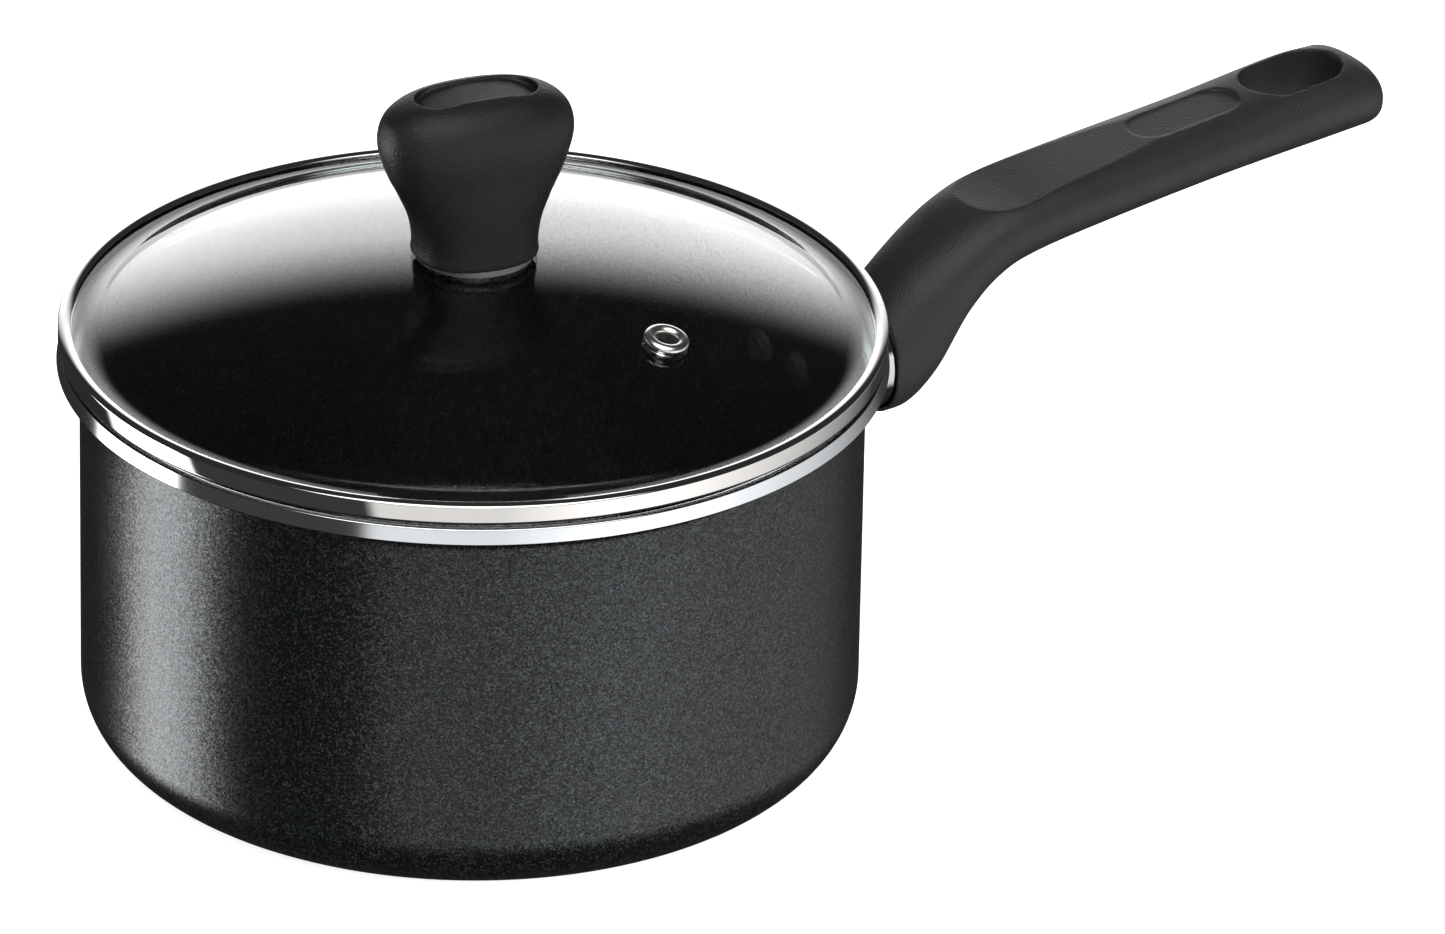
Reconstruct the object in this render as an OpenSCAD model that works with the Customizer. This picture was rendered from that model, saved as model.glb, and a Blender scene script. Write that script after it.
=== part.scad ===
// Saucepan with a moulded side handle and a steel-banded glass lid.
// All lengths are in millimetres. The origin is on the pan's axis, on the plane
// that the base rests on. +Z is up, and the handle points along +X.

/* [Pan] */
// Outer radius of the straight wall
wall_r = 89.2; // [88.6:0.1:89.6]
// Thickness of the wall
wall_t = 3.0; // [2.6:0.1:3.2]
// Thickness of the floor
floor_t = 5.6; // [4.5:0.1:6]
// Radius of the outer corner between wall and base
corner_r = 15.6; // [14:0.2:17]
// Radius inside, between the floor and the wall
inner_corner_r = 18; // [14:0.5:20]
// Height of the rolled-out lip above the resting plane
pan_h = 96.4; // [96:0.1:96.8]
// Largest radius of the lip
lip_r = 94.4; // [94:0.1:94.8]
// Thickness of the lip at its bare cut edge
lip_t = 3.7; // [3.4:0.1:3.9]

/* [Rivets and bracket] */
// Height of the two rivets
rivet_z = 69; // [67:0.5:69.5]
// Distance between the rivets round the wall
rivet_gap = 15.5; // [14:0.5:16]
// Diameter of a rivet's head inside the pan
rivet_head_d = 9; // [8:0.5:9.5]
// Diameter of a rivet's shank
rivet_shank_d = 5; // [4:0.5:5.5]
// Thickness of the bracket's saddle and of its tang
bracket_t = 2.5; // [2:0.1:2.8]

/* [Handle] */
// Width of the hole to hang the pan by
slot_w = 17.6; // [15:0.2:18]
// Length of the hole to hang the pan by
slot_l = 26.5; // [22:0.5:27]
// Distance from the pan's axis to the middle of the hanging hole
slot_x = 234.6; // [232:0.2:235]
// Depth of the plain sunken panel on the grip
panel_depth = 0.8; // [0.4:0.1:1.2]

/* [Lid] */
// Outer radius of the steel band
band_r = 94; // [93.8:0.1:94.4]
// Height of the steel band
band_h = 5.08; // [5.04:0.02:5.2]
// Sheet thickness of the steel band
band_t = 0.5; // [0.4:0.05:0.5]
// Thickness of the glass
glass_t = 3.2; // [3:0.1:3.2]
// Slope of the glass where the dome meets its flat edge, in degrees
dome_slope = 23; // [21:0.5:24]
// Diameter of the steam hole through the eyelet
vent_d = 5; // [4.4:0.1:5.2]
// Distance from the lid's axis to the steam vent
vent_x = 53.4; // [45:0.5:60]
// Direction of the steam vent, in degrees from the handle
vent_turn = -71; // [-90:1:90]

/* [Knob] */
// Height of the knob above its gasket
knob_h = 40; // [36:0.5:44]
// Direction of the knob's long axis, in degrees from the handle
knob_turn = -12; // [-90:1:90]
// Diameter of the screw that holds the knob
knob_screw_d = 5; // [4:0.5:5]

/* [Hidden] */

$fn = 96;
eps = 0.01;
touch = 0.02;              // gap left between faces that only touch
loft_sides = 32;           // points round a lofted section

// Pan profile
inner_r = wall_r - wall_t;
lip_lean = 9;              // lean of the lip's cut edge from upright, in degrees
lip_fillet = 0.5;
flare_under_r = 3.6;       // radius under the flare
flare_top_r = 7;           // radius over the flare, inside the pan
groove_w = 1.2;            // turned rings on the base
groove_depth = 0.25;
groove_first_r = 22;
groove_pitch = 9;
groove_count = 6;

// Rivets
rivet_turn = asin(rivet_gap / 2 / wall_r);
rivet_head_h = 1.7;
rivet_tail_h = 1.5;
rivet_tail_d = 8;

// Bracket: a curved saddle on the wall and a flat tang that enters the handle
saddle_r = wall_r + touch;
saddle_w = 24.4;
saddle_h = 19.8;
saddle_z = 64.4;           // middle of the saddle
saddle_corner_r = 6;
saddle_blank = 10;         // length of the block that the saddle is cut from
tang_w = 15;
tang_z = 63.8;             // middle of the tang
tang_end_x = 126;
handle_screw_d = 4;
handle_screw_x = 119.5;
handle_screw_head_d = 7.6;
handle_screw_head_z = 54.4;
handle_screw_head_h = 2.6;
lock_washer_t = 0.9;
screw_bore_z = 40;         // below the whole handle root

// Handle: each station is [top x, top z, bottom x, bottom z, half width]
handle_stations = [
    [110.5, 77.2, 110.5, 50.2, 13.2],
    [113.8, 80.4, 117.5, 51, 13.6],
    [119.5, 85.4, 125, 57.2, 13.9],
    [128, 90.6, 133, 70, 14.1],
    [138, 95.6, 141.5, 77.8, 14.2],
    [150, 98.6, 152, 81.6, 14.5],
    [176, 100.8, 176, 84.7, 14.6],
    [207, 102.9, 207, 87.5, 14.6],
    [236, 106, 236, 88.8, 14.5],
    [248, 106, 248, 89.4, 14.2],
];
handle_steps = 4;          // sections between one station and the next
handle_top_n = 2.5;        // squareness of the section's upper half
handle_under_n = 2.3;      // squareness of the section's lower half
tip_len = 9.05;            // length of the rounded end past the last station
tip_steps = 8;
tip_drop = 0.59;           // how far the rounded end closes below its middle
grip_slope = 4.6;          // slope of the grip, in degrees
panel_x = 202;
panel_z = 102.65;          // top of the grip at the panel
slot_z = 97;               // middle of the grip at the hanging hole
slot_cut = 60;
panel_l = 30.5;
panel_w = 12.4;
scoop_line = [[130, 97], [138, 95.7], [148, 96.3], [160, 98.1], [185, 100.8], [212, 103.6]];
scoop_w = 40;
scoop_top_z = 125;         // above the whole grip
pocket_gap = 0.15;         // play round the tang; the flame guard has twice as much
socket_x = 105;            // starts outside the handle's root face

// Flame guard: each station is [x, middle z, half width, half height]
guard_stations = [
    [87, 64.4, 16.4, 14.2],
    [94, 64.2, 14.4, 12.9],
    [103, 64, 12.8, 12.3],
    [114, 63.8, 12.3, 12.1],
];
guard_steps = 4;
guard_t = 0.9;
guard_n = 2.3;

// Lid
lid_gap = 0.95;            // space between the pan's lip and the band
band_z = pan_h + lid_gap;
band_top = band_z + band_h;
band_crown_r = 2.3;        // the band's top is a shallow arch, seen in section
band_crown_turn = 35;      // half the arch's span, in degrees
band_corner_r = 0.5;       // outer corner between the arch and the upright face
band_roll = 1.0;           // radius of the rolled lower edge
band_low_in_r = 90.6;
band_crown_z = band_top - band_crown_r;
band_crown_mid = band_r - band_corner_r - (band_crown_r - band_corner_r) * sin(band_crown_turn);
glass_play = 0.27;         // play between the glass and the band that carries it
glass_r = band_r - band_t - glass_play;
glass_edge_top = band_crown_z + (band_crown_r - band_t) * cos(band_crown_turn) - glass_play;
glass_pencil = 1.2;        // rounding of the glass's edge
dome_flat_r = 89;          // where the flat edge ends
dome_blend = 10;
dome_end_r = dome_flat_r - dome_blend * sin(dome_slope);
dome_r = dome_end_r / sin(dome_slope);
dome_cz = glass_edge_top + dome_blend * (1 - cos(dome_slope)) - dome_r * cos(dome_slope);
dome_top = dome_cz + dome_r;
glass_hole_r = 4.5;

// Steam vent, measured along the glass's own normal
vent_tilt = asin(vent_x / dome_r);
vent_tube_r = vent_d / 2 + 0.6;
vent_hole_r = vent_tube_r + 0.2;
vent_flange_r = 5.2;
vent_flange_h = 1.5;
vent_washer_t = 0.8;
vent_washer_drop = 0.1;    // the glass curves down past a flat washer's rim
vent_flare_r = vent_tube_r + 0.9;

// Knob and its hardware
gasket_t = 0.8;
knob_z = dome_top + gasket_t;
gasket_r = 13.4;
// Each station is [share of the height, half length, half width]
knob_stations = [
    [0, 14.4, 13.1],
    [0.09, 14.2, 12.9],
    [0.22, 15.2, 12.9],
    [0.36, 17.6, 13.1],
    [0.51, 20.6, 13.4],
    [0.66, 22.6, 13.9],
    [0.77, 22.8, 13.7],
    [0.87, 21.2, 12.4],
    [0.945, 17, 9.8],
    [0.985, 10.4, 6],
    [1, 2.4, 1.4],
];
knob_steps = 3;
knob_n = 2.3;
recess_l = 29;
recess_w = 11;
recess_crown_r = 50;
recess_depth = 1.1;
insert_r = 4;
insert_l = 15;
insert_sink = 0.5;
grommet_r = 9;
grommet_t = 1.1;
washer_r = 8;
washer_t = 1.2;
head_r = 4.6;
head_h = 2.8;
cross_w = 1.2;
cross_l = 5;
cross_depth = 1.6;
screw_grip = 11;           // length of the screw inside the insert
under_glass = dome_top - glass_t;
grommet_z = under_glass - grommet_t;
washer_z = grommet_z - washer_t;
head_z = washer_z - head_h;

// Points of an arc in a profile, from angle a0 to a1
function arc(c, r, a0, a1, n = 8) =
    [for (i = [0 : n]) let (a = a0 + (a1 - a0) * i / n) c + r * [cos(a), sin(a)]];

function spow(v, e) = sign(v) * pow(abs(v), e);

// Smooth curve through the rows of p, with n steps from one row to the next
function widen(p) = let (m = len(p) - 1) concat([2 * p[0] - p[1]], p, [2 * p[m] - p[m - 1]]);
function blend(a, b, c, d, t) =
    0.5 * (2 * b + (c - a) * t + (2 * a - 5 * b + 4 * c - d) * t * t + (3 * b - a - 3 * c + d) * t * t * t);
function smooth(p, n) =
    let (w = widen(p))
    concat([for (i = [0 : len(p) - 2], k = [0 : n - 1]) blend(w[i], w[i + 1], w[i + 2], w[i + 3], k / n)],
           [p[len(p) - 1]]);

// A point on a rounded section of half sizes 1 by 1, at step i of loft_sides
function round_pt(i, n_top, n_under) =
    let (a = 360 * i / loft_sides, e = 2 / (a <= 180 ? n_top : n_under))
    [spow(cos(a), e), spow(sin(a), e)];

// A closed solid through rings that all have the same number of points
module loft(rings) {
    m = len(rings[0]);
    last = len(rings) - 1;
    sides = [for (r = [0 : last - 1], i = [0 : m - 1])
        let (j = (i + 1) % m, a = r * m, b = a + m)
        each [[a + i, b + j, a + j], [a + i, b + i, b + j]]];
    caps = [[for (i = [0 : m - 1]) i], [for (i = [m - 1 : -1 : 0]) last * m + i]];
    polyhedron([for (r = rings) each r], concat(sides, caps));
}

// A slot outline with round ends, l long over all and w wide
module stadium(l, w) {
    union() {
        square([l - w, w], center = true);
        translate([(l - w) / 2, 0]) circle(d = w);
        translate([-(l - w) / 2, 0]) circle(d = w);
    }
}

function pan_profile() =
    let (
        lean = 90 - lip_lean,
        edge_low = [lip_r, pan_h - lip_t * cos(lip_lean)],
        edge_top = edge_low + lip_t * [-sin(lip_lean), cos(lip_lean)],
        under_run = (lip_r - wall_r - flare_under_r * (1 - cos(lean))) / sin(lean),
        flare_z = edge_low[1] - flare_under_r * sin(lean) - under_run * cos(lean),
        top_c = [inner_r + flare_top_r, pan_h - lip_fillet - flare_top_r]
    )
    concat(
        [[0, 0]],
        arc([wall_r - corner_r, corner_r], corner_r, -90, 0, 14),
        arc([wall_r + flare_under_r, flare_z], flare_under_r, 180, 180 - lean, 8),
        [edge_low + lip_fillet * [0, 0.2]],
        arc(edge_top - lip_fillet * [1, 1], lip_fillet, 0, 90, 4),
        arc(top_c, flare_top_r, 90 + lip_lean, 180, 10),
        arc([inner_r - inner_corner_r, floor_t + inner_corner_r], inner_corner_r, 0, -90, 12),
        [[0, floor_t]]
    );

module rivet_places() {
    for (s = [-1, 1])
        rotate([0, 0, s * rivet_turn])
        translate([0, 0, rivet_z])
        rotate([0, 90, 0])
        children();
}

module pan_body() {
    color([0.16, 0.17, 0.18])
    difference() {
        rotate_extrude() polygon(pan_profile());
        rivet_places() cylinder(d = rivet_shank_d, h = 2 * wall_r);
        for (i = [0 : groove_count - 1])
            translate([0, 0, -eps])
            rotate_extrude()
            translate([groove_first_r + groove_pitch * i, 0])
            square([groove_w, groove_depth + eps]);
    }
}

// Curved plate with round corners that lies on the wall
module saddle() {
    w = saddle_w - 2 * saddle_corner_r;
    h = saddle_h - 2 * saddle_corner_r;
    intersection() {
        difference() {
            cylinder(r = saddle_r + bracket_t, h = pan_h);
            translate([0, 0, -1]) cylinder(r = saddle_r, h = pan_h + 2);
        }
        translate([saddle_r - saddle_blank / 2, 0, saddle_z])
        rotate([0, 90, 0])
        linear_extrude(saddle_blank)
        union() {
            square([saddle_h, w], center = true);
            square([h, saddle_w], center = true);
            for (i = [-1, 1], j = [-1, 1])
                translate([i * h / 2, j * w / 2]) circle(r = saddle_corner_r);
        }
    }
}

module handle_bracket() {
    color([0.7, 0.7, 0.71])
    difference() {
        union() {
            saddle();
            translate([saddle_r + bracket_t / 2, -tang_w / 2, tang_z - bracket_t / 2])
                cube([tang_end_x - saddle_r - bracket_t / 2, tang_w, bracket_t]);
        }
        rivet_places() cylinder(d = rivet_shank_d, h = 2 * wall_r);
        translate([handle_screw_x, 0, tang_z - bracket_t])
            cylinder(d = handle_screw_d, h = 2 * bracket_t);
    }
}

module bracket_rivets() {
    tail_x = saddle_r + bracket_t + touch;
    dome = (pow(rivet_head_d / 2, 2) + pow(rivet_head_h, 2)) / (2 * rivet_head_h);
    color([0.1, 0.1, 0.1])
    rivet_places()
    union() {
        translate([0, 0, inner_r - rivet_head_h])
            cylinder(d = rivet_shank_d, h = tail_x + rivet_tail_h - inner_r + rivet_head_h);
        translate([0, 0, tail_x]) cylinder(d = rivet_tail_d, h = rivet_tail_h);
        // the domed head rests on the wall at its two sides, so it starts a little inside it
        difference() {
            translate([0, 0, inner_r - rivet_head_h + dome - touch]) sphere(r = dome);
            translate([0, 0, inner_r - touch - 0.1]) cylinder(r = 2 * dome, h = 3 * dome);
        }
    }
}

function guard_ring(s, inset) =
    [for (i = [0 : loft_sides - 1]) let (p = round_pt(i, guard_n, guard_n))
        [s[0], p[0] * (s[2] - inset), s[1] + p[1] * (s[3] - inset)]];

module flame_guard() {
    line = smooth(guard_stations, guard_steps);
    ends = [line[0] - [1, 0, 0, 0], line[len(line) - 1] + [1, 0, 0, 0]];
    color([0.82, 0.82, 0.83])
    difference() {
        loft([for (s = line) guard_ring(s, 0)]);
        loft([for (s = concat([ends[0]], line, [ends[1]])) guard_ring(s, guard_t)]);
        cylinder(r = saddle_r, h = pan_h);
    }
}

function handle_ring(s, kw, kh, shift, ahead) =
    let (
        c = [(s[0] + s[2]) / 2, (s[1] + s[3]) / 2],
        v = [(s[0] - s[2]) / 2, (s[1] - s[3]) / 2],
        t = [v[1], -v[0]] / norm(v),
        m = c - shift * v + ahead * t
    )
    [for (i = [0 : loft_sides - 1]) let (p = round_pt(i, handle_top_n, handle_under_n))
        [m[0] + v[0] * p[1] * kh, p[0] * s[4] * kw, m[1] + v[1] * p[1] * kh]];

function tip_ring(s, k) =
    let (g = sin(90 * k / (tip_steps + 0.15)), f = sqrt(1 - g * g))
    handle_ring(s, f, f, tip_drop * (1 - f), tip_len * g);

module handle_blank() {
    line = smooth(handle_stations, handle_steps);
    tip = line[len(line) - 1];
    loft(concat([for (s = line) handle_ring(s, 1, 1, 0, 0)], [for (k = [1 : tip_steps]) tip_ring(tip, k)]));
}

module scoop_tool() {
    line = smooth(scoop_line, 6);
    last = line[len(line) - 1];
    translate([0, scoop_w / 2, 0])
    rotate([90, 0, 0])
    linear_extrude(scoop_w)
    polygon(concat(line, [[last[0], scoop_top_z], [line[0][0], scoop_top_z]]));
}

module handle() {
    color([0.09, 0.09, 0.095])
    difference() {
        handle_blank();
        scoop_tool();
        // hanging hole
        translate([slot_x, 0, slot_z])
            rotate([0, -grip_slope, 0])
            translate([0, 0, -slot_cut / 2])
            linear_extrude(slot_cut)
            stadium(slot_l, slot_w);
        // plain sunken panel
        translate([panel_x, 0, panel_z - panel_depth])
            rotate([0, -grip_slope, 0])
            linear_extrude(10)
            stadium(panel_l, panel_w);
        // pocket for the tang
        translate([socket_x, -tang_w / 2 - pocket_gap, tang_z - bracket_t / 2 - pocket_gap])
            cube([tang_end_x + 0.5 - socket_x, tang_w + 2 * pocket_gap, bracket_t + 2 * pocket_gap]);
        // socket for the end of the flame guard
        guard_socket();
        // screw hole from below, with a counterbore for the head
        translate([handle_screw_x, 0, screw_bore_z])
            cylinder(d = handle_screw_d + 0.4, h = tang_z + 4 - screw_bore_z);
        translate([handle_screw_x, 0, screw_bore_z])
            cylinder(d = handle_screw_head_d + 0.8,
                     h = handle_screw_head_z + handle_screw_head_h + lock_washer_t - screw_bore_z);
    }
}

// Space for the flame guard's end, from outside the handle to just past where the guard stops
module guard_socket() {
    s = guard_stations[3];
    loft([for (x = [socket_x, s[0] + pocket_gap]) guard_ring([x, s[1], s[2], s[3]], -2 * pocket_gap)]);
}

module handle_screw() {
    color([0.72, 0.72, 0.74])
    translate([handle_screw_x, 0, handle_screw_head_z])
    difference() {
        union() {
            cylinder(d = handle_screw_head_d, h = handle_screw_head_h);
            cylinder(d = handle_screw_d, h = tang_z + bracket_t / 2 + 1 - handle_screw_head_z);
        }
        cross_recess();
    }
}

module cross_recess() {
    for (a = [0, 90])
        rotate([0, 0, a])
        translate([-cross_l / 2, -cross_w / 2, -eps])
        cube([cross_l, cross_w, cross_depth]);
}

module handle_lock_washer() {
    color([0.65, 0.65, 0.66])
    translate([handle_screw_x, 0, handle_screw_head_z + handle_screw_head_h])
    difference() {
        cylinder(d = handle_screw_head_d, h = lock_washer_t);
        translate([0, 0, -1]) cylinder(d = handle_screw_d, h = lock_washer_t + 2);
        // split
        rotate([0, 0, 35]) translate([0, -0.4, -1]) cube([handle_screw_d * 2, 0.8, lock_washer_t + 2]);
    }
}

function band_profile() =
    let (
        crown = [band_crown_mid, band_crown_z],
        turn = band_crown_turn,
        corner = crown + (band_crown_r - band_corner_r) * [sin(turn), cos(turn)],
        roll = [band_r - band_roll, band_z + band_roll]
    )
    concat(
        arc(crown, band_crown_r, 90 + turn, 90 - turn, 6),
        arc(corner, band_corner_r, 75 - turn, 0, 3),
        arc(roll, band_roll, 0, -90, 6),
        [[band_low_in_r, band_z], [band_low_in_r, band_z + band_t]],
        arc(roll, band_roll - band_t, -90, 0, 6),
        [[band_r - band_t, corner[1]]],
        arc(crown, band_crown_r - band_t, 90 - turn, 90 + turn, 6)
    );

module lid_band() {
    color([0.85, 0.85, 0.86]) rotate_extrude() polygon(band_profile());
}

function glass_profile() =
    let (
        c = [0, dome_cz],
        blend_c = [dome_flat_r, glass_edge_top + dome_blend],
        low = glass_edge_top - glass_t,
        s = dome_slope
    )
    concat(
        arc(c, dome_r, 90, 90 - s, 20),
        arc(blend_c, dome_blend, 270 - s, 270, 5),
        arc([glass_r - glass_pencil, glass_edge_top - glass_pencil], glass_pencil, 90, 0, 5),
        arc([glass_r - glass_pencil, low + glass_pencil], glass_pencil, 0, -90, 5),
        arc(blend_c, dome_blend + glass_t, 270, 270 - s, 5),
        arc(c, dome_r - glass_t, 90 - s, 90, 20)
    );

// Puts children on the dome's outer face at the vent, with their Z along its normal
module at_vent() {
    rotate([0, 0, vent_turn])
    translate([0, 0, dome_cz])
    rotate([0, vent_tilt, 0])
    translate([0, 0, dome_r])
    children();
}

module lid_glass() {
    color([0.75, 0.82, 0.8, 0.35])
    difference() {
        rotate_extrude() polygon(glass_profile());
        translate([0, 0, under_glass - 5]) cylinder(r = glass_hole_r, h = glass_t + 10);
        at_vent() translate([0, 0, -glass_t - 5]) cylinder(r = vent_hole_r, h = glass_t + 10);
    }
}

module vent_eyelet() {
    tube_low = -glass_t - vent_washer_drop - vent_washer_t - touch;
    flange_low = 0.1;
    flange_mid = (vent_tube_r + vent_flange_r) / 2;
    color([0.85, 0.85, 0.86])
    at_vent()
    rotate_extrude()
    polygon(concat(
        [[vent_d / 2, tube_low - 0.6], [vent_flare_r, tube_low - 0.6], [vent_flare_r, tube_low],
         [vent_tube_r, tube_low], [vent_tube_r, flange_low], [vent_flange_r, flange_low]],
        [for (a = [0 : 15 : 180])
            [flange_mid + (vent_flange_r - flange_mid) * cos(a) - (a > 90 ? 0.6 * (a - 90) / 90 : 0),
             flange_low + 0.3 + (vent_flange_h - 0.4) * sin(a)]]
    ));
}

module vent_washer() {
    color([0.75, 0.75, 0.76])
    at_vent()
    translate([0, 0, -glass_t - vent_washer_drop - vent_washer_t])
    difference() {
        cylinder(r = vent_flange_r, h = vent_washer_t);
        translate([0, 0, -1]) cylinder(r = vent_tube_r, h = vent_washer_t + 2);
    }
}

module knob_gasket() {
    steps = 6;
    r0 = knob_screw_d / 2 + 0.4;
    color([0.85, 0.87, 0.86, 0.5])
    rotate_extrude()
    polygon(concat(
        [for (i = [0 : steps]) let (r = r0 + (gasket_r - r0) * i / steps)
            [r, dome_cz + touch + sqrt(dome_r * dome_r - r * r)]],
        [[gasket_r, knob_z], [r0, knob_z]]
    ));
}

function knob_ring(s) =
    [for (i = [0 : loft_sides - 1]) let (p = round_pt(i, knob_n, knob_n))
        [s[1] * p[0], s[2] * p[1], knob_h * s[0]]];

module lid_knob() {
    crown_z = knob_h - recess_depth - recess_crown_r;
    color([0.09, 0.09, 0.095])
    rotate([0, 0, knob_turn])
    translate([0, 0, knob_z])
    difference() {
        loft([for (s = smooth(knob_stations, knob_steps)) knob_ring(s)]);
        translate([0, 0, -1]) cylinder(r = insert_r, h = insert_sink + insert_l + 1);
        // shallow oval recess that follows the crown
        difference() {
            translate([0, 0, knob_h - 8]) linear_extrude(16) stadium(recess_l, recess_w);
            translate([0, 20, crown_z]) rotate([90, 0, 0]) cylinder(r = recess_crown_r, h = 40);
        }
    }
}

module knob_insert() {
    color([0.78, 0.65, 0.35])
    translate([0, 0, knob_z + insert_sink])
    difference() {
        union() {
            cylinder(r = insert_r - 0.3, h = insert_l);
            for (i = [0 : 2]) translate([0, 0, i * insert_l / 2.5]) cylinder(r = insert_r, h = insert_l / 5);
        }
        translate([0, 0, -1]) cylinder(d = knob_screw_d, h = insert_l - 1);
    }
}

module glass_grommet() {
    bore_r = knob_screw_d / 2;
    color([0.9, 0.9, 0.88])
    difference() {
        union() {
            translate([0, 0, grommet_z]) cylinder(r = grommet_r, h = grommet_t - 0.25);
            translate([0, 0, grommet_z]) cylinder(r = glass_hole_r - 0.1, h = grommet_t + glass_t - 0.3);
        }
        translate([0, 0, grommet_z - 1]) cylinder(r = bore_r + 0.1, h = grommet_t + glass_t + 2);
    }
}

module knob_washer() {
    color([0.8, 0.8, 0.81])
    translate([0, 0, washer_z])
    difference() {
        cylinder(r1 = washer_r - 0.6, r2 = washer_r, h = washer_t);
        translate([0, 0, -1]) cylinder(d = knob_screw_d + 0.4, h = washer_t + 2);
    }
}

module knob_screw() {
    color([0.8, 0.8, 0.81])
    translate([0, 0, head_z])
    difference() {
        union() {
            cylinder(r1 = head_r - 0.9, r2 = head_r, h = head_h);
            cylinder(d = knob_screw_d, h = knob_z + insert_sink + screw_grip - head_z);
        }
        cross_recess();
    }
}

pan_body();
handle_bracket();
bracket_rivets();
flame_guard();
handle();
handle_screw();
handle_lock_washer();
lid_band();
lid_glass();
vent_eyelet();
vent_washer();
knob_gasket();
lid_knob();
knob_insert();
glass_grommet();
knob_washer();
knob_screw();
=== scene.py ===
"""Looks of the saucepan with a glass lid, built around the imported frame.

Lengths named here are in millimetres, as on a drawing, and MM turns them into metres.
The frame has its origin on the pan's axis at the base, +Z up and +X along the handle.
"""

import math

import bmesh
import bpy
from mathutils import Matrix, Vector


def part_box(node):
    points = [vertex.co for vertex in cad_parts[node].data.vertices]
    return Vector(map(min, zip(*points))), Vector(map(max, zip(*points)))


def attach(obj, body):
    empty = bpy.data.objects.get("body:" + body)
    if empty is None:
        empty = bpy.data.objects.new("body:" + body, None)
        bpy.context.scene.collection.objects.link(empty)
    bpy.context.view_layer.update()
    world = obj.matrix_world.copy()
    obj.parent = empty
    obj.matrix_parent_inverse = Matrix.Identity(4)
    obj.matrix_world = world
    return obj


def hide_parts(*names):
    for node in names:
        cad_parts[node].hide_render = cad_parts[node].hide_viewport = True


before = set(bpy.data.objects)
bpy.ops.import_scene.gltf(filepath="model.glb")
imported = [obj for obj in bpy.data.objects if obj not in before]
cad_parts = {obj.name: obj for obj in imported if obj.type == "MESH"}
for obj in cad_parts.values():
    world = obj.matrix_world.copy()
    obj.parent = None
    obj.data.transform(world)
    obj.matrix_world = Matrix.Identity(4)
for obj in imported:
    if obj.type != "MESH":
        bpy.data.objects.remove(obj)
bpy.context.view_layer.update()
MM = 0.001

# ---------------------------------------------------------------- places from the frame

pan_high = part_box("pan_body")[1] / MM
band_low, band_high = (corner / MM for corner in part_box("lid_band"))
glass_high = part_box("lid_glass")[1] / MM
knob_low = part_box("lid_knob")[0] / MM

PAN_H = pan_high.z
LIP_R = 94.37            # the lip's outer edge
WALL_R = LIP_R - 5.2
WALL_T = 3.0
WALL_STOPS = (30, 45, 60, 75)    # heights where the wall's mesh has a ring
FLOOR_T = 5.6
FLOOR_STOPS = (60, 40, 20, 0)    # radii where the floor's mesh has a ring
INNER_CORNER_R = 18
CORNER_R = 15.6
LIP_T = 3.7
LIP_LEAN = 9             # lean of the lip's edge, in degrees
LIP_UNDER_R = 3.6        # bend from the wall out to the lip, seen from outside
LIP_OVER_R = 7           # the same bend, seen from inside
LIP_FILLET = 0.35
BARE_R = 87.6            # the non-stick coat starts inside this radius
SEAT_R = 91.6            # the lip's top is painted dark outside this radius, as shade under the lid's band
BASE_RINGS = 6           # shallow grooves turned in the base
BASE_RING_R = 22         # radius of the first
BASE_RING_PITCH = 9

BAND_R = band_high.x
BAND_TOP = band_high.z
BAND_Z = band_low.z
BAND_T = 0.5
BAND_CROWN_R = 2.3       # the band's top is a shallow arch, seen in section
BAND_CROWN_TURN = 35     # half the arch's span, in degrees
BAND_CORNER_R = 0.5
BAND_ROLL = 1.0          # radius of the rolled lower edge
BAND_LOW_IN_R = 90.6     # inner edge of the lower leg

GLASS_T = 3.2
GLASS_R = glass_high.x
GLASS_PLAY = 0.27        # play between the glass and the band
GLASS_PENCIL = 1.2       # rounding of the glass's edge
CROWN_Z = BAND_TOP - BAND_CROWN_R
GLASS_EDGE_TOP = CROWN_Z + (BAND_CROWN_R - BAND_T) * math.cos(math.radians(BAND_CROWN_TURN)) - GLASS_PLAY
DOME_SLOPE = math.radians(23)
DOME_FLAT_R = 89         # where the glass's flat edge ends
DOME_BLEND = 10          # radius of the bend between the flat edge and the dome
DOME_END_R = DOME_FLAT_R - DOME_BLEND * math.sin(DOME_SLOPE)
DOME_R = DOME_END_R / math.sin(DOME_SLOPE)
DOME_CZ = GLASS_EDGE_TOP + DOME_BLEND * (1 - math.cos(DOME_SLOPE)) - DOME_R * math.cos(DOME_SLOPE)
GLASS_HOLE_R = 4.5
VENT_X = 53.4            # the vent's distance from the axis
VENT_TURN = math.radians(-71)
VENT_D = 5
VENT_ROOM = 0.8          # how much wider the hole in the glass is, all round
EYELET_WALL = 0.6
EYELET_FLANGE_R = 5.2
EYELET_RISE = 1.15       # height of the flange's round top
EYELET_FLARE_Z = -GLASS_T - 0.92

KNOB_TURN = math.radians(-12)
KNOB_Z = knob_low.z
KNOB_H = 40
KNOB_ROUND = 2.3         # 2 is an ellipse, and more is squarer
KNOB_VOXEL = 0.36
KNOB_BORE_R = 4
KNOB_BORE_H = 15.5
RECESS_L = 29            # the oval recess in the knob's top
RECESS_W = 11
RECESS_DEPTH = 1.1
RECESS_CROWN_R = 50      # bend of the recess's floor

GASKET_IN_R = 2.9
GASKET_OUT_R = 13.4
GASKET_EDGE_R = 0.15


# ---------------------------------------------------------------- curves and meshes

def arc(cx, cy, r, a0, a1, n):
    """Points of an arc from angle a0 to a1, in degrees."""
    angles = [math.radians(a0 + (a1 - a0) * i / n) for i in range(n + 1)]
    return [(cx + r * math.cos(a), cy + r * math.sin(a)) for a in angles]


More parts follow.
